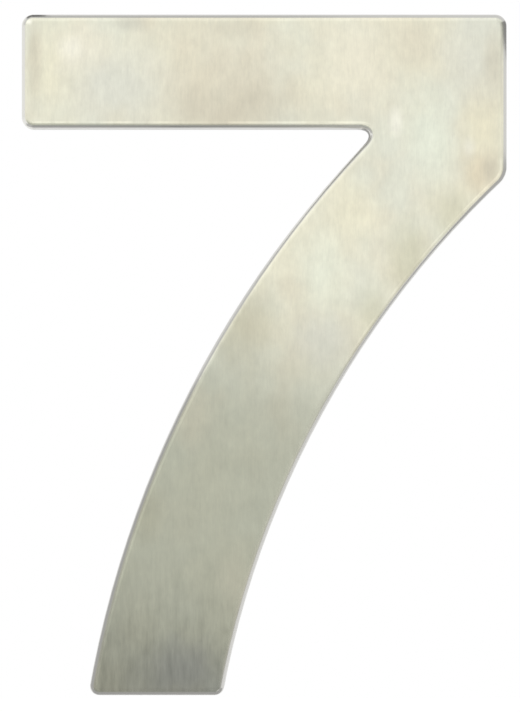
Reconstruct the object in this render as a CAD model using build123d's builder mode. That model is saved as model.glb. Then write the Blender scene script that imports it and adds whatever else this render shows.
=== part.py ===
"""House number 7: a cast digit with softened edges, fixed from behind by two threaded studs.

The digit stands upright as it hangs on a wall. +X is the reader's right, +Z is up and the front
face looks along -Y. The origin is the middle of the digit's outline, on the flat back face that
lies against the wall. Lengths are in millimetres and angles in degrees.
"""

import os
from math import radians, tan

from build123d import *

# Outline of the digit, seen from the front
digit_height = 101.6
digit_width = 72.4
bar_height = 17.1
bar_underside_length = 53.3
shoulder_drop = 24.2
foot_inset = 9.9
foot_width = 20.1
inner_curve_radius = 157.5
outer_curve_radius = 140.7
notch_radius = 1.3

# Radii that the corners keep on the face, inside the draft and the rounded edge
bar_corner_radius = 0.5
shoulder_radius = 1.8
foot_corner_radius = 0.2

# Section of the casting
plate_thickness = 6.35
wall_draft = 0.5
edge_radius = 1.2
back_edge_break = 0.3

# M4 studs, drawn plain: at the outside diameter where they stand free, and at the pitch
# diameter where their thread is engaged
stud_diameter = 4.0
thread_pitch_diameter = 3.545
stud_free_length = 34.4
stud_end_chamfer = 0.5

# Tapped blind holes in the back, which the studs screw into
thread_clearance = 0.02
thread_depth = 3.6
tap_drill_diameter = 3.3
thread_runout = 0.4
drill_point_angle = 118.0
hole_mouth_clearance = 0.2

# Places of the studs: from the right end of the bar, and as a share of the stem's length
upper_stud_inset = 11.5
lower_stud_share = 0.15

top = digit_height / 2
bottom = -digit_height / 2
left = -digit_width / 2
right = digit_width / 2
bar_underside = top - bar_height
foot_left = left + foot_inset
foot_right = foot_left + foot_width

face_radii = {
    (left, bar_underside): bar_corner_radius,
    (left, top): bar_corner_radius,
    (right, top): bar_corner_radius,
    (right, top - shoulder_drop): shoulder_radius,
    (foot_left, bottom): foot_corner_radius,
    (foot_right, bottom): foot_corner_radius,
}
edge_inset = edge_radius + plate_thickness * tan(radians(wall_draft))

engaged_radius = thread_pitch_diameter / 2
tapped_radius = engaged_radius + thread_clearance
hole_mouth_break = stud_diameter / 2 + hole_mouth_clearance - tapped_radius
tap_drill_radius = tap_drill_diameter / 2
tap_drill_depth = thread_depth + thread_runout
drill_point_length = tap_drill_radius / tan(radians(drill_point_angle / 2))

# Outline at the back face, where the drafted walls are widest
with BuildLine() as outline:
    bar_border = Polyline(
        (left + bar_underside_length, bar_underside),
        (left, bar_underside),
        (left, top),
        (right, top),
        (right, top - shoulder_drop),
    )
    outer_curve = RadiusArc(bar_border @ 1, (foot_right, bottom), -outer_curve_radius)
    foot_edge = Line(outer_curve @ 1, (foot_left, bottom))
    inner_curve = RadiusArc(foot_edge @ 1, bar_border @ 0, inner_curve_radius)
notch_corner = bar_border @ 0

# The upper stud is midway up the bar, and the lower one midway between the stem's two curves
stem_middle = (inner_curve @ lower_stud_share + outer_curve @ (1 - lower_stud_share)) / 2
stud_places = {
    "upper_stud": (right - upper_stud_inset, top - bar_height / 2),
    "lower_stud": (stem_middle.X, stem_middle.Y),
}


def back_plane(place, height=0.0):
    """Plane at a stud's place, facing out of the back and `height` away from the back face."""
    x, z = place
    return Plane(origin=(x, height, z), x_dir=(-1, 0, 0), z_dir=(0, 1, 0))


with BuildPart() as digit:
    with BuildSketch(Plane.XZ) as silhouette:
        add(outline.line)
        make_face()
        for corner, face_radius in face_radii.items():
            vertex = silhouette.vertices().sort_by_distance(corner)[0]
            fillet(vertex, radius=face_radius + edge_inset)
        fillet(silhouette.vertices().sort_by_distance(notch_corner)[0], radius=notch_radius)
    extrude(amount=plate_thickness, taper=wall_draft)
    fillet(digit.faces().sort_by(Axis.Y)[0].edges(), radius=edge_radius)
    chamfer(digit.faces().sort_by(Axis.Y)[-1].edges(), length=back_edge_break)

    with Locations([back_plane(place) for place in stud_places.values()]):
        CounterBoreHole(
            radius=tap_drill_radius,
            counter_bore_radius=tapped_radius,
            counter_bore_depth=thread_depth,
            depth=tap_drill_depth,
        )
    hole_mouths = digit.faces().sort_by(Axis.Y)[-1].inner_wires()
    chamfer([mouth.edge() for mouth in hole_mouths], length=hole_mouth_break)
    with Locations([back_plane(place, -tap_drill_depth) for place in stud_places.values()]):
        Cone(
            bottom_radius=0,
            top_radius=tap_drill_radius,
            height=drill_point_length,
            align=(Align.CENTER, Align.CENTER, Align.MAX),
            mode=Mode.SUBTRACT,
        )


def threaded_stud(place):
    """Stud screwed to the bottom of its hole, with both ends chamfered."""
    with BuildPart() as stud:
        with BuildSketch(back_plane(place, -thread_depth)):
            Circle(engaged_radius)
        extrude(amount=thread_depth)
        with BuildSketch(back_plane(place)):
            Circle(stud_diameter / 2)
        extrude(amount=stud_free_length)
        end_faces = stud.faces().filter_by(Axis.Y).sort_by(Axis.Y)
        chamfer([end_faces[0].edge(), end_faces[-1].edge()], length=stud_end_chamfer)
    return stud.part


pieces = {"digit": digit.part}
for stud_name, stud_place in stud_places.items():
    pieces[stud_name] = threaded_stud(stud_place)

os.makedirs("parts", exist_ok=True)
for name, piece in pieces.items():
    piece.label = name
    export_step(piece, f"parts/{name}.step")
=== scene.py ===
"""House number 7: a cast digit in satin nickel with two threaded studs behind it.

The frame's axes are kept: +X is the reader's right, +Z is up, and the face looks along -Y.
Places and sizes are in metres, and named sizes are written in millimetres times MM. The tables
of tones and cards, and the places that a material reads, are in plain millimetres.
"""

import math

import bmesh
import bpy
from mathutils import Matrix, Vector


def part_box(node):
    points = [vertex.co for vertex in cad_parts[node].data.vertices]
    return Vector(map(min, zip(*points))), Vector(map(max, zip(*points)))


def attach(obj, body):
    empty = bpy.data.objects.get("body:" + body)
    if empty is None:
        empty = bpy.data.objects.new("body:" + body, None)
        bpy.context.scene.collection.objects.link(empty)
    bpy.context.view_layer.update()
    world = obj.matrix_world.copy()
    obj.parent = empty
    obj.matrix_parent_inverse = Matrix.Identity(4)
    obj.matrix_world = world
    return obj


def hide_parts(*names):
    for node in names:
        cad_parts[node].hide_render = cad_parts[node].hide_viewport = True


MM = 0.001

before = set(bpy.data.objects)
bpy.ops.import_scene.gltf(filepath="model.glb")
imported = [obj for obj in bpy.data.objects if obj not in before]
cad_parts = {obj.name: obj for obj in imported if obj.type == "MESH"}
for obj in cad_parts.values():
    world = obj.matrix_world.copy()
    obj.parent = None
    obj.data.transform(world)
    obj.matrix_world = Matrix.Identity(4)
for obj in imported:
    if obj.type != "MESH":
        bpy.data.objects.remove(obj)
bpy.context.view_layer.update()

STUDS = ("upper_stud", "lower_stud")
LOW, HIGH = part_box("digit")
LEFT, RIGHT = LOW.x, HIGH.x
BOTTOM, TOP = LOW.z, HIGH.z
FACE_Y, BACK_Y = LOW.y, HIGH.y

# Outline of the digit at its widest, which is where the back edge's chamfer starts
BAR_UNDERSIDE = TOP - 17.1 * MM
NOTCH_X = LEFT + 53.3 * MM
SHOULDER_Z = TOP - 24.2 * MM
FOOT_LEFT = LEFT + 9.9 * MM
FOOT_RIGHT = FOOT_LEFT + 20.1 * MM
INNER_RADIUS = 157.5 * MM
OUTER_RADIUS = 140.7 * MM

# Section of the casting
WALL_DRAFT = math.radians(0.5)
EDGE_RADIUS = 1.2 * MM
BACK_BREAK = 0.3 * MM
RIM_Y = BACK_Y - BACK_BREAK
DRAFT_INSET = (RIM_Y - FACE_Y) * math.tan(WALL_DRAFT)
EDGE_INSET = EDGE_RADIUS + DRAFT_INSET

# Radii of the corners: the notch's at the rim, and those that the others keep on the face
NOTCH_RADIUS = 1.3 * MM
BAR_CORNER_RADIUS = 0.5 * MM
SHOULDER_RADIUS = 1.8 * MM
FOOT_CORNER_RADIUS = 0.2 * MM

# Corners of the outline, from the notch round to the foot, each with its radius at the rim
CORNERS = [
    (NOTCH_X, BAR_UNDERSIDE, NOTCH_RADIUS),
    (LEFT, BAR_UNDERSIDE, EDGE_INSET + BAR_CORNER_RADIUS),
    (LEFT, TOP, EDGE_INSET + BAR_CORNER_RADIUS),
    (RIGHT, TOP, EDGE_INSET + BAR_CORNER_RADIUS),
    (RIGHT, SHOULDER_Z, EDGE_INSET + SHOULDER_RADIUS),
    (FOOT_RIGHT, BOTTOM, EDGE_INSET + FOOT_CORNER_RADIUS),
    (FOOT_LEFT, BOTTOM, EDGE_INSET + FOOT_CORNER_RADIUS),
]

# Tapped holes in the back
MOUTH_RADIUS = 2.2 * MM
TAPPED_RADIUS = 1.7925 * MM
TAPPED_DEPTH = 3.6 * MM
DRILL_RADIUS = 1.65 * MM
DRILL_DEPTH = 4.0 * MM
DRILL_TIP_DEPTH = 4.99 * MM

# M4 thread of the studs
PITCH = 0.7 * MM
CREST_RADIUS = 2.0 * MM
ROOT_RADIUS = 1.57 * MM
CREST_FLAT = PITCH / 8
ROOT_FLAT = PITCH / 4
ENGAGED_RADIUS = 1.77 * MM
STUD_CHAMFER = 0.5 * MM
SPARE_TURNS = 1.5

# Facets of the curves, and how near two points are one
CURVE_STEPS = 24
CORNER_STEPS = 10
ROUNDING_STEPS = 12
HOLE_STEPS = 48
THREAD_STEPS = 40
MERGE = 0.001 * MM
FINE_MERGE = 0.0005 * MM

# Edges that turn by more than this stay crisp
DIGIT_CREASE = math.radians(30)
THREAD_CREASE = math.radians(25)

# Framing of the photograph, which is taken straight from the front
PHOTO_HEIGHT_PX = 712
MM_PER_PX = 0.1498
CAMERA_DISTANCE = 1.2
CAMERA_TARGET = Vector((-0.63 * MM, 0, -0.17 * MM))
SENSOR = 36.0

# Floor, world and lamp, at plain levels. Where the world and the floor are seen, they are white.
FLOOR_Z = -180 * MM
FLOOR_HALF_SIDE = 3.0
FLOOR_COLOUR = (0.9, 0.9, 0.9, 1)
FLOOR_GLOW = 0.4
WORLD_LEVEL = 0.7
KEY_PLACE = Vector((-0.45, -0.6, 0.75))
KEY_SIZE = 1.2
KEY_POWER = 0.8


class Output:
    """An output of a shader node. Arithmetic on it adds Math nodes beside it."""

    def __init__(self, shader, socket):
        self.shader = shader
        self.socket = socket

    def math(self, operation, *values):
        return self.shader.node("Math", {"operation": operation}, dict(enumerate(values)))

    def __add__(self, other):
        return self.math("ADD", self, other)

    def __radd__(self, other):
        return self.math("ADD", other, self)

    def __sub__(self, other):
        return self.math("SUBTRACT", self, other)

    def __rsub__(self, other):
        return self.math("SUBTRACT", other, self)

    def __mul__(self, other):
        return self.math("MULTIPLY", self, other)

    def __rmul__(self, other):
        return self.math("MULTIPLY", other, self)

    def __truediv__(self, other):
        return self.math("DIVIDE", self, other)

    def __rtruediv__(self, other):
        return self.math("DIVIDE", other, self)

    def __neg__(self):
        return self.math("MULTIPLY", self, -1.0)

    def root(self):
        return self.math("SQRT", self)

    def most(self, other):
        return self.math("MAXIMUM", self, other)

    def rise(self, start, end):
        """0 up to start, 1 from end, and smooth between them. Start may be the larger."""
        settings = {"interpolation_type": "SMOOTHSTEP"}
        values = {"Value": self, "From Min": start, "From Max": end}
        return self.shader.node("MapRange", settings, values)


class Shader:
    """Nodes of one material or of the world."""

    # Sockets of a Mix node of colours, which has other sockets by the same names
    MIX_FACTOR, MIX_FIRST, MIX_SECOND, MIX_RESULT = 0, 6, 7, 2

    def __init__(self, owner):
        owner.use_nodes = True
        self.tree = owner.node_tree
        self.tree.nodes.clear()

    def node(self, kind, settings, values, outputs=0):
        """Add one node: its settings first, then its sockets' values or links.

        Returns the named or numbered output, or a list of them where a tuple is given.
        """
        made = self.tree.nodes.new("ShaderNode" + kind)
        for name, value in settings.items():
            setattr(made, name, value)
        for name, value in values.items():
            if isinstance(value, Output):
                self.tree.links.new(value.socket, made.inputs[name])
            else:
                made.inputs[name].default_value = value
        if isinstance(outputs, tuple):
            return [Output(self, made.outputs[name]) for name in outputs]
        return Output(self, made.outputs[outputs])

    def places(self):
        """The point on the piece, as a vector in millimetres, and its three parts."""
        point = self.node("TexCoord", {}, {}, "Object")
        point = self.node("VectorMath", {"operation": "SCALE"}, {0: point, "Scale": 1 / MM})
        return point, *self.node("SeparateXYZ", {}, {0: point}, ("X", "Y", "Z"))

    def facing(self):
        """The three parts of the piece's own normal."""
        normal = self.node("TexCoord", {}, {}, "Normal")
        return self.node("SeparateXYZ", {}, {0: normal}, ("X", "Y", "Z"))

    def noise(self, point, size, detail=2.0, roughness=0.5, shift=(0, 0, 0)):
        """Smooth noise about 0.5, with blotches of the given size in millimetres along X, Y, Z."""
        scale = tuple(1 / length for length in size)
        point = self.node("Mapping", {}, {"Vector": point, "Location": shift, "Scale": scale})
        values = {"Vector": point, "Scale": 1.0, "Detail": detail, "Roughness": roughness}
        return self.node("TexNoise", {}, values)

    def blend(self, factor, first, second):
        """First colour where the factor is 0 and second where it is 1."""
        values = {self.MIX_FACTOR: factor, self.MIX_FIRST: first, self.MIX_SECOND: second}
        return self.node("Mix", {"data_type": "RGBA"}, values, self.MIX_RESULT)

    def dim(self, tint, level):
        """A colour times a number."""
        return self.node("VectorMath", {"operation": "SCALE"}, {0: tint, "Scale": level})

    def bump(self, height, depth):
        """A normal for a height from 0 to 1 that stands for the given depth in metres."""
        return self.node("Bump", {}, {"Height": height, "Distance": depth, "Strength": 1.0})

    def metal(self, tint, roughness, normal):
        """A bare metal surface as the material's output."""
        values = {"Base Color": tint, "Metallic": 1.0, "Roughness": roughness, "Normal": normal}
        self.end(self.node("BsdfPrincipled", {}, values))

    def end(self, surface, kind="OutputMaterial"):
        """Join the finished surface to the output of the material or the world."""
        self.node(kind, {}, {"Surface": surface}, outputs=())


def distance(across, along):
    """How far a spot lies from a centre, by its two offsets from it."""
    return (across * across + along * along).root()


def colour(red, green, blue):
    """A colour as the eye reads it, from 0 to 255, in the linear values that sockets take."""
    parts = [value / 255 for value in (red, green, blue)]
    linear = [v / 12.92 if v <= 0.04045 else ((v + 0.055) / 1.055) ** 2.4 for v in parts]
    return (*linear, 1.0)


def grey(level):
    """A plain grey, by its linear level."""
    return (level, level, level, 1.0)


# Colours of the nickel plate on the face and on the walls, and of the studs' zinc. The walls'
# darker colour is partly bare plate and partly painted shade, the left walls' lighter one is
# painted light, and the zinc's colour in the thread's root is painted shade.
WARM_NICKEL = colour(232, 229, 208)
COOL_NICKEL = colour(226, 227, 211)
TAWNY_NICKEL = colour(223, 217, 196)
STEM_NICKEL = colour(224, 223, 205)
WALL_NICKEL = colour(206, 205, 201)
# Painted light: the left walls high up are lighter, as if lit
LIT_LEFT_WALL = colour(224, 223, 218)
ZINC_CREST = colour(196, 198, 200)
# Painted shade down in the thread's root
PAINTED_ROOT_SHADE = colour(120, 121, 122)

# Depth that both metals' fine grain stands for
GRAIN_DEPTH = 0.004 * MM

# Broad soft tones of the face: colour, strength, and middle and half size in millimetres. They are
# partly the plate's uneven tone and partly painted reflections: the GLINT ones are painted
# highlights, and some darker DUN, OLIVE and STONE ones are painted shade.
YELLOW = colour(237, 232, 205)
CREAM = colour(238, 233, 213)
SAND = colour(222, 215, 194)
PALE_GREY = colour(223, 224, 212)
MINT = colour(232, 236, 219)
AMBER = colour(224, 213, 187)
OLIVE = colour(207, 205, 180)
DUN = colour(206, 200, 181)
STONE = colour(202, 198, 175)
NEUTRAL = colour(204, 204, 198)
SMUDGE = colour(207, 206, 192)
# Painted highlight: the brightest spots of the face
GLINT = colour(250, 248, 234)
TONES = [
    (YELLOW, 0.6, (-31.5, 44.0), (4.5, 7.0)),
    (DUN, 0.6, (-34.2, 44.0), (1.1, 6.0)),
    (CREAM, 0.9, (-27.0, 45.5), (5.0, 4.0)),
    (PALE_GREY, 0.8, (-21.5, 40.0), (8.5, 6.5)),
    (SAND, 0.8, (-5.5, 41.0), (11.0, 7.5)),
    (DUN, 0.6, (-4.0, 36.5), (11.5, 4.0)),
    (DUN, 0.4, (-5.0, 48.6), (4.0, 1.8)),
    (CREAM, 0.7, (14.0, 44.0), (6.0, 8.0)),
    (SAND, 0.6, (22.0, 46.5), (5.0, 5.0)),
    (PALE_GREY, 0.7, (31.0, 45.0), (5.0, 8.0)),
    (MINT, 0.8, (24.5, 32.5), (4.0, 7.0)),
    (YELLOW, 0.7, (32.5, 33.5), (3.5, 5.5)),
    (AMBER, 0.8, (32.0, 27.0), (3.0, 3.5)),
    (DUN, 0.5, (34.0, 43.5), (1.5, 4.5)),
    (DUN, 0.7, (33.6, 27.5), (1.2, 2.2)),
    (OLIVE, 0.55, (28.0, 20.5), (3.4, 4.8)),
    (OLIVE, 0.65, (22.0, 14.0), (3.2, 6.0)),
    (OLIVE, 0.5, (16.0, 6.0), (2.5, 4.0)),
    (YELLOW, 0.4, (13.0, 21.5), (3.5, 5.0)),
    (MINT, 0.7, (8.5, 12.0), (4.0, 7.0)),
    (PALE_GREY, 0.7, (9.0, 2.5), (4.5, 4.5)),
    (STONE, 0.75, (-3.6, 4.8), (5.0, 6.5)),
    (CREAM, 0.6, (-10.8, -9.0), (2.8, 4.5)),
    (STONE, 0.3, (-17.5, -24.0), (2.5, 4.0)),
    (CREAM, 0.7, (-4.5, -33.5), (2.5, 4.5)),
    (NEUTRAL, 0.8, (-12.5, -47.6), (7.0, 4.6)),
    (SMUDGE, 0.6, (-20.3, 49.4), (2.2, 1.2)),
    (PALE_GREY, 0.6, (-7.6, -49.8), (1.8, 2.2)),
    (GLINT, 0.5, (-29.0, 45.5), (2.0, 2.0)),
    (GLINT, 0.6, (19.6, 34.9), (1.0, 2.2)),
    (GLINT, 0.5, (30.5, 31.0), (1.0, 1.6)),
    (GLINT, 1.0, (-35.0, 49.6), (0.45, 0.4)),
]

# Cards that only reflections see. The two in front shade the stem and foot, and the others darken
# the digit's edges. Each has its centre and size in millimetres, the way it faces, its tone, and
# the degrees by which it is turned in its own plane.
TO_FACE, TO_LEFT, TO_RIGHT = (0, 1, 0), (-1, 0, 0), (1, 0, 0)
DOWN, UP = (0, 0, -1), (0, 0, 1)
CARDS = [
    ("front_grey", (-50, -34, -63.5), (110, 150), TO_FACE, (0.61, 0.63, 0.61, 1.0), 22),
    ("front_dark", (-45, -30, -91), (120, 110), TO_FACE, (0.46, 0.47, 0.46, 1.0), 20),
    ("top", (-138, -2, 170), (300, 100), DOWN, grey(0.75), 0),
    ("top_right", (132, -2, 170), (240, 100), DOWN, grey(0.92), 0),
    ("bottom", (0, 30, -140), (470, 140), UP, grey(0.53), 0),
    ("left_high", (-170, -12, 165), (100, 200), TO_RIGHT, grey(0.78), 0),
    ("left_low", (-50, -6, -21.5), (44, 77), TO_RIGHT, grey(0.58), 0),
    ("right_low", (80, -75, -85), (100, 100), TO_LEFT, grey(0.66), 0),
    ("corner_top", (-39, 2, 62), (12, 16), DOWN, grey(0.22), 0),
    ("corner_right", (60, -15, 56), (90, 17), TO_LEFT, grey(0.36), 3),
    ("notch", (14.5, 1, 31.7), (11, 3.6), TO_RIGHT, grey(0.34), 0),
    ("shoulder", (60, 5, 12), (50, 36), TO_LEFT, grey(0.63), 0),
]


def satin_nickel():
    """Nickel plate: brushed upright on the face, with a painted highlight along its border and
    painted shade down the stem and foot; darker on the walls, partly bare plate and partly painted
    shade, and painted lighter on the left walls high up.

    Rises of z are in millimetres up the digit, and those of the normal's parts tell which way a
    spot faces.
    """
    made = bpy.data.materials.new("satin_nickel")
    shader = Shader(made)
    point, x, _, z = shader.places()
    normal_x, normal_y, _ = shader.facing()
    forward = -normal_y
    leftward, rightward = normal_x.rise(-0.02, -0.12), normal_x.rise(0.02, 0.12)
    on_stem = z.rise(8, -14)
    wobble = shader.noise(point, (4, 4, 6), shift=(1.7, 0, 6.3))
    grain = shader.noise(point, (0.22, 0.4, 1.6), roughness=0.65)

    face = broad_tones(shader, point, x, z, on_stem, wobble)
    # Painted shade: the face darkens a little down the stem and more down the foot.
    stem_shade, foot_shade = z.rise(16, -6) * 0.05, z.rise(-24, -52) * 0.20
    face = shader.dim(face, 1 - stem_shade - foot_shade)
    face = shader.dim(face, 1 + brush_marks(shader, point, z, on_stem, grain))
    # Painted highlight: a lighter band along the rounded border of the face.
    border = forward.rise(0.90, 0.96) * forward.rise(0.999, 0.985)
    face = shader.dim(face, 1 + border * painted_edge_highlight(z, leftward, rightward, wobble))

    # Painted light and shade on the walls: darker all round, partly bare plate and partly painted
    # shade along the outline, and lighter on the left walls high up as if lit.
    walls = shader.blend(leftward * z.rise(10, 22), WALL_NICKEL, LIT_LEFT_WALL)
    on_face = forward.rise(0.72, 0.90)
    tint = shader.blend(on_face, walls, face)
    rounding = forward.rise(0.05, 0.25) * forward.rise(0.98, 0.85)
    roughness = 0.39 - rounding * 0.19 + (grain - 0.5) * 0.10
    shader.metal(tint, roughness, shader.bump(grain * on_face, GRAIN_DEPTH))
    return made


def broad_tones(shader, point, x, z, on_stem, wobble):
    """Colour of the face before it is brushed: drifting tones, with the soft patches on them, some
    of them painted highlights and painted shade.
    """
    clouds = shader.noise(point, (13, 9, 13), shift=(2.3, 0, 1.1))
    warmth = shader.noise(point, (9, 7, 12), shift=(7.9, 0, 4.2))
    face = shader.blend(clouds.rise(0.35, 0.65), WARM_NICKEL, COOL_NICKEL)
    face = shader.blend(warmth.rise(0.45, 0.80), face, TAWNY_NICKEL)
    face = shader.blend(on_stem * 0.7, face, STEM_NICKEL)
    for tone, strength, (centre_x, centre_z), (half_x, half_z) in TONES:
        away = distance((x - centre_x) / half_x, (z - centre_z) / half_z)
        patch = (away + wobble - 0.5).rise(1.5, 0.1)
        face = shader.blend(patch * strength, face, tone)
    return face


def brush_marks(shader, point, z, on_stem, grain):
    """How much lighter or darker than its tone each spot is, by streaks, grain and mottling."""
    on_foot = z.rise(-29, -47)
    mottle = shader.noise(point, (2.4, 3, 3.0), roughness=0.6)
    speckle = shader.noise(point, (0.5, 1, 1.1), roughness=0.6)
    streaks = shader.noise(point, (0.9, 6, 6), roughness=0.6)
    lengthwise = (streaks - 0.5) * (0.12 + on_foot * 0.37)
    lengthwise = lengthwise + (grain - 0.5) * (0.11 + on_foot * 0.10)
    blotchy = (mottle - 0.5) * (0.17 + on_foot * 0.09)
    blotchy = blotchy + (speckle - 0.5) * (0.14 - on_stem * 0.05)
    return lengthwise + blotchy


def painted_edge_highlight(z, leftward, rightward, wobble):
    """How much lighter the border is painted, as a highlight: in patches round the bar, evenly
    down the stem's left.
    """
    on_bar, on_top = z.rise(12, 26), z.rise(42, 47)
    round_bar = on_bar * (1 - leftward) * (1 - rightward * 0.6) * (0.18 - on_top * 0.13)
    below_shoulder = z.rise(-4, 4) * z.rise(31, 27) * rightward * 0.12
    down_left = z.rise(0, -8) * leftward * 0.14
    return (round_bar + below_shoulder) * wobble.rise(0.25, 0.65) + down_left


def stud_steel(name, centre):
    """Zinc plated steel, with painted shade down in the thread's root. The centre is the stud's
    axis.
    """
    made = bpy.data.materials.new(name)
    shader = Shader(made)
    point, x, _, z = shader.places()
    radius = distance(x - centre.x / MM, z - centre.z / MM)
    in_root = radius.rise(CREST_RADIUS / MM, ROOT_RADIUS / MM)
    wear = shader.noise(point, (0.8, 2.5, 0.8), detail=3.0)
    # Painted shade: darker down in the thread's root.
    tint = shader.blend(in_root, ZINC_CREST, PAINTED_ROOT_SHADE)
    tint = shader.dim(tint, 0.9 + wear * 0.2)
    shader.metal(tint, 0.28 + wear * 0.15, shader.bump(wear, GRAIN_DEPTH))
    return made


def floor_white():
    """Pale floor that the camera and reflections see as white, apart from shadows on it."""
    made = bpy.data.materials.new("floor_white")
    shader = Shader(made)
    surface = shader.node("BsdfDiffuse", {}, {"Color": FLOOR_COLOUR})
    glow = shader.node("Emission", {}, {"Strength": seen_directly(shader) * FLOOR_GLOW})
    shader.end(shader.node("AddShader", {}, {0: surface, 1: glow}))
    return made


def seen_directly(shader):
    """1 for camera, glossy and transmission rays, and 0 for the rays that only light things."""
    names = ("Is Camera Ray", "Is Glossy Ray", "Is Transmission Ray")
    camera, glossy, transmission = shader.node("LightPath", {}, {}, names)
    return camera.most(glossy).most(transmission)


def white_world():
    """White background, at a plain level where it lights things."""
    world = bpy.data.worlds.new("studio")
    bpy.context.scene.world = world
    shader = Shader(world)
    level = WORLD_LEVEL + seen_directly(shader) * (1 - WORLD_LEVEL)
    background = shader.node("Background", {}, {"Color": grey(1.0), "Strength": level})
    shader.end(background, "OutputWorld")


def new_piece(name, bm, material):
    """Object of a finished bmesh."""
    mesh = bpy.data.meshes.new(name)
    bm.to_mesh(mesh)
    bm.free()
    mesh.materials.append(material)
    piece = bpy.data.objects.new(name, mesh)
    bpy.context.scene.collection.objects.link(piece)
    return piece


def smooth(bm, crease):
    """Shade the faces smoothly, with edges that turn by more than the crease kept crisp."""
    for face in bm.faces:
        face.smooth = True
    for edge in bm.edges:
        edge.smooth = edge.calc_face_angle(math.pi) < crease


def everything(bm):
    """All points, edges and faces of a bmesh, as operators take them."""
    return bm.verts[:] + bm.edges[:] + bm.faces[:]


def only(kind, parts):
    """The points, edges or faces among an operator's results."""
    return [part for part in parts if isinstance(part, kind)]


def spin_round(bm, centre, profile, steps, advance=0):
    """Spin a profile of radii and depths once round a stud's axis, and along it for a helix."""
    verts = [bm.verts.new((centre.x + radius, y, centre.z)) for radius, y in profile]
    edges = [bm.edges.new(pair) for pair in zip(verts, verts[1:])]
    bmesh.ops.spin(
        bm,
        geom=verts + edges,
        cent=centre,
        axis=(0, 1, 0),
        dvec=(0, advance / steps, 0),
        angle=math.tau,
        steps=steps,
        use_merge=not advance,
    )


def outline_face(bm):
    """The digit's outline with sharp corners, as one face at the rim."""
    *bar, foot_right, foot_left = [bm.verts.new((x, RIM_Y, z)) for x, z, _ in CORNERS]
    notch, shoulder = bar[0], bar[-1]
    for pair in (*zip(bar, bar[1:]), (foot_right, foot_left)):
        bm.edges.new(pair)
    curves = ((foot_right, shoulder, OUTER_RADIUS), (foot_left, notch, INNER_RADIUS))
    for start, end, radius in curves:
        cent, angle = curve_centre(start.co, end.co, radius)
        bmesh.ops.spin(bm, geom=[start], cent=cent, axis=(0, 1, 0), angle=angle, steps=CURVE_STEPS)
    bmesh.ops.remove_doubles(bm, verts=bm.verts, dist=MERGE)
    bmesh.ops.edgeloop_fill(bm, edges=bm.edges)


def curve_centre(start, end, radius):
    """Centre of a stem curve, which lies to its right, and the angle from its start to its end."""
    half = (end - start) / 2
    across = Vector((half.z, 0, -half.x)).normalized()
    centre = start + half + across * math.sqrt(radius**2 - half.length_squared)
    return centre, 2 * math.asin(half.length / radius)


def round_corners(bm):
    """Round each corner of the outline to its own radius."""
    for x, z, radius in CORNERS:
        corner = Vector((x, RIM_Y, z))
        vert = min(bm.verts, key=lambda vert: (vert.co - corner).length)
        bmesh.ops.bevel(
            bm,
            geom=[vert],
            offset=radius * math.tan(vert.calc_edge_angle() / 2),
            offset_type="ABSOLUTE",
            affect="VERTICES",
            segments=CORNER_STEPS,
            profile=0.5,
            material=-1,
        )


def inset_to(bm, face, thickness, y):
    """Inset a face all round and move what is left of it to the depth y."""
    bmesh.ops.inset_region(
        bm,
        faces=[face],
        thickness=thickness,
        use_boundary=True,
        use_even_offset=True,
    )
    for vert in face.verts:
        vert.co.y = y


def round_front(bm, front):
    """Round the edge between the drafted walls and the face."""
    bmesh.ops.bevel(
        bm,
        geom=front.edges[:],
        offset=EDGE_RADIUS * math.tan((math.pi / 2 - WALL_DRAFT) / 2),
        affect="EDGES",
        segments=ROUNDING_STEPS,
        profile=0.5,
        material=-1,
    )


def tapped_hole(bm, centre):
    """Blind hole in the back, down to its drill's cone. Returns the edges of its mouth."""
    profile = [
        (MOUTH_RADIUS, BACK_Y),
        (TAPPED_RADIUS, BACK_Y - (MOUTH_RADIUS - TAPPED_RADIUS)),
        (TAPPED_RADIUS, BACK_Y - TAPPED_DEPTH),
        (DRILL_RADIUS, BACK_Y - TAPPED_DEPTH),
        (DRILL_RADIUS, BACK_Y - DRILL_DEPTH),
        (0, BACK_Y - DRILL_TIP_DEPTH),
    ]
    before = set(bm.edges)
    spin_round(bm, centre, profile, HOLE_STEPS)
    made = [edge for edge in bm.edges if edge not in before]
    return [edge for edge in made if all(vert.co.y > BACK_Y - MERGE for vert in edge.verts)]


def brushed_digit():
    """The cast digit: drafted walls, a rounded front edge and two tapped holes in a flat back."""
    bm = bmesh.new()
    outline_face(bm)
    round_corners(bm)
    front = bm.faces[:][0]
    copied = bmesh.ops.duplicate(bm, geom=[front])["geom"]
    back = only(bmesh.types.BMFace, copied)[0]
    inset_to(bm, front, DRAFT_INSET, FACE_Y)
    inset_to(bm, back, BACK_BREAK, BACK_Y)
    borders = back.edges[:]
    round_front(bm, front)
    for node in STUDS:
        low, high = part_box(node)
        borders += tapped_hole(bm, (low + high) / 2)
    bmesh.ops.delete(bm, geom=[back], context="FACES_ONLY")
    bmesh.ops.triangle_fill(bm, edges=borders, use_beauty=True)
    bmesh.ops.remove_doubles(bm, verts=bm.verts, dist=FINE_MERGE)
    bmesh.ops.recalc_face_normals(bm, faces=bm.faces)
    smooth(bm, DIGIT_CREASE)
    piece = new_piece("digit_brushed", bm, satin_nickel())
    weighted = piece.modifiers.new("flat_faces_stay_flat", "WEIGHTED_NORMAL")
    weighted.keep_sharp = True
    weighted.weight = 100
    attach(piece, "root")
    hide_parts("digit")


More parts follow.
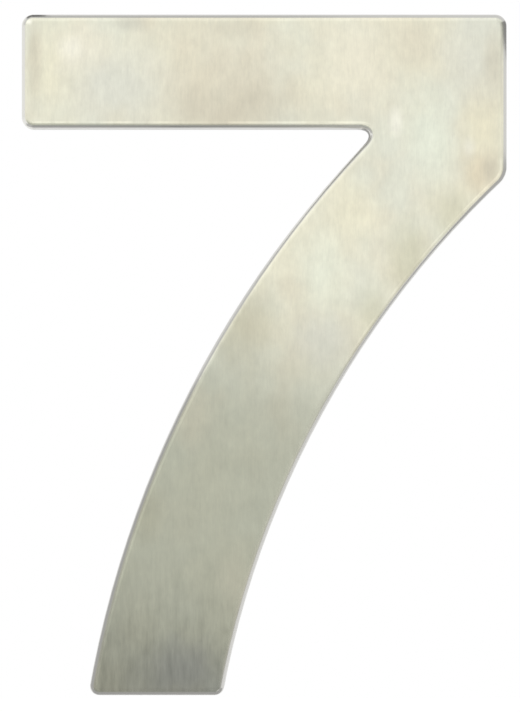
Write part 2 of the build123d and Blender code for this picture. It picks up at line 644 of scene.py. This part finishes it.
def thread_turn(bm, centre, start):
    """One turn of the thread round a stud's axis, from the depth given."""
    flank = (PITCH - CREST_FLAT - ROOT_FLAT) / 2
    profile = [
        (ROOT_RADIUS, start),
        (ROOT_RADIUS, start + ROOT_FLAT),
        (CREST_RADIUS, start + ROOT_FLAT + flank),
        (CREST_RADIUS, start + ROOT_FLAT + flank + CREST_FLAT),
        (ROOT_RADIUS, start + PITCH),
    ]
    spin_round(bm, centre, profile, THREAD_STEPS, advance=PITCH)


def threaded_stud(node):
    """A stud with its helical thread cut, chamfered at both ends."""
    low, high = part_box(node)
    centre = (low + high) / 2
    start, end = low.y, high.y
    bm = bmesh.new()
    thread_turn(bm, centre, start - SPARE_TURNS * PITCH)
    turn = everything(bm)
    turns = math.ceil((end - start) / PITCH + SPARE_TURNS)
    for number in range(1, turns + 1):
        copied = bmesh.ops.duplicate(bm, geom=turn)["geom"]
        copied = only(bmesh.types.BMVert, copied)
        bmesh.ops.translate(bm, verts=copied, vec=(0, PITCH * number, 0))
    bmesh.ops.remove_doubles(bm, verts=bm.verts, dist=MERGE)
    cut_ends(bm, start, end)
    turn_down(bm, centre, start, end)
    bmesh.ops.recalc_face_normals(bm, faces=bm.faces)
    smooth(bm, THREAD_CREASE)
    piece = new_piece(node + "_thread", bm, stud_steel(node + "_steel", centre))
    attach(piece, "root")
    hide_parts(node)


def cut_ends(bm, start, end):
    """Cut the thread square at both ends and close it, with a ring of points at each chamfer."""
    for y in (start + STUD_CHAMFER, BACK_Y, end - STUD_CHAMFER):
        bmesh.ops.bisect_plane(
            bm,
            geom=everything(bm),
            plane_co=(0, y, 0),
            plane_no=(0, 1, 0),
        )
    for y, way in ((start, -1), (end, 1)):
        cut = bmesh.ops.bisect_plane(
            bm,
            geom=everything(bm),
            plane_co=(0, y, 0),
            plane_no=(0, way, 0),
            clear_outer=True,
        )
        bmesh.ops.edgeloop_fill(bm, edges=only(bmesh.types.BMEdge, cut["geom_cut"]))


def turn_down(bm, centre, start, end):
    """Turn the thread down where it is engaged, and to a chamfer at both ends."""
    for vert in bm.verts:
        out = Vector((vert.co.x - centre.x, 0, vert.co.z - centre.z))
        limit = CREST_RADIUS if vert.co.y > BACK_Y else ENGAGED_RADIUS
        from_end = min(vert.co.y - start, end - vert.co.y)
        limit = min(limit, limit - STUD_CHAMFER + from_end)
        if out.length > limit:
            vert.co -= out * (1 - limit / out.length)


def plain_floor():
    """A wide pale floor under the digit, out of the photograph's view."""
    bm = bmesh.new()
    bmesh.ops.create_grid(bm, x_segments=1, y_segments=1, size=FLOOR_HALF_SIDE)
    bmesh.ops.translate(bm, verts=bm.verts, vec=(0, 0, FLOOR_Z))
    floor = new_piece("floor", bm, floor_white())


def flag(name, centre, size, facing, tone, slant):
    """A flat card that only reflections see: it shades the metal as a studio's black flags do."""
    made = bpy.data.materials.new(name)
    shader = Shader(made)
    shader.end(shader.node("Emission", {}, {"Color": tone}))
    width, height = size
    bm = bmesh.new()
    bmesh.ops.create_grid(bm, x_segments=1, y_segments=1, size=MM / 2)
    bmesh.ops.scale(bm, verts=bm.verts, vec=(width, height, 1))
    turn = Vector(facing).to_track_quat("Z", "Y").to_matrix()
    turn = Matrix.Rotation(math.radians(slant), 3, facing) @ turn
    bmesh.ops.rotate(bm, verts=bm.verts, cent=(0, 0, 0), matrix=turn)
    bmesh.ops.translate(bm, verts=bm.verts, vec=[part * MM for part in centre])
    card = new_piece(name, bm, made)
    card.visible_camera = False
    card.visible_diffuse = False
    card.visible_transmission = False
    card.visible_shadow = False


def key_softbox():
    """A large square softbox, high in front on the left and turned to the digit."""
    lamp = bpy.data.lights.new("key", "AREA")
    lamp.size = KEY_SIZE
    lamp.energy = KEY_POWER
    softbox = bpy.data.objects.new("key", lamp)
    softbox.location = KEY_PLACE
    softbox.rotation_euler = (-KEY_PLACE).to_track_quat("-Z", "Y").to_euler()
    bpy.context.scene.collection.objects.link(softbox)


def photo_camera():
    """Camera straight in front, framed as the photograph is."""
    camera = bpy.data.cameras.new("photo_camera")
    camera.sensor_width = SENSOR
    camera.lens = SENSOR * CAMERA_DISTANCE / (PHOTO_HEIGHT_PX * MM_PER_PX * MM)
    camera.clip_start = 0.01
    camera.clip_end = 50
    viewer = bpy.data.objects.new("photo_camera", camera)
    viewer.location = CAMERA_TARGET - Vector((0, CAMERA_DISTANCE, 0))
    viewer.rotation_euler = (math.radians(90), 0, 0)
    bpy.context.scene.collection.objects.link(viewer)
    bpy.context.scene.camera = viewer


photo_camera()
white_world()
plain_floor()
for card in CARDS:
    flag(*card)
key_softbox()
brushed_digit()
for stud in STUDS:
    threaded_stud(stud)

bpy.context.scene.view_settings.view_transform = "Standard"
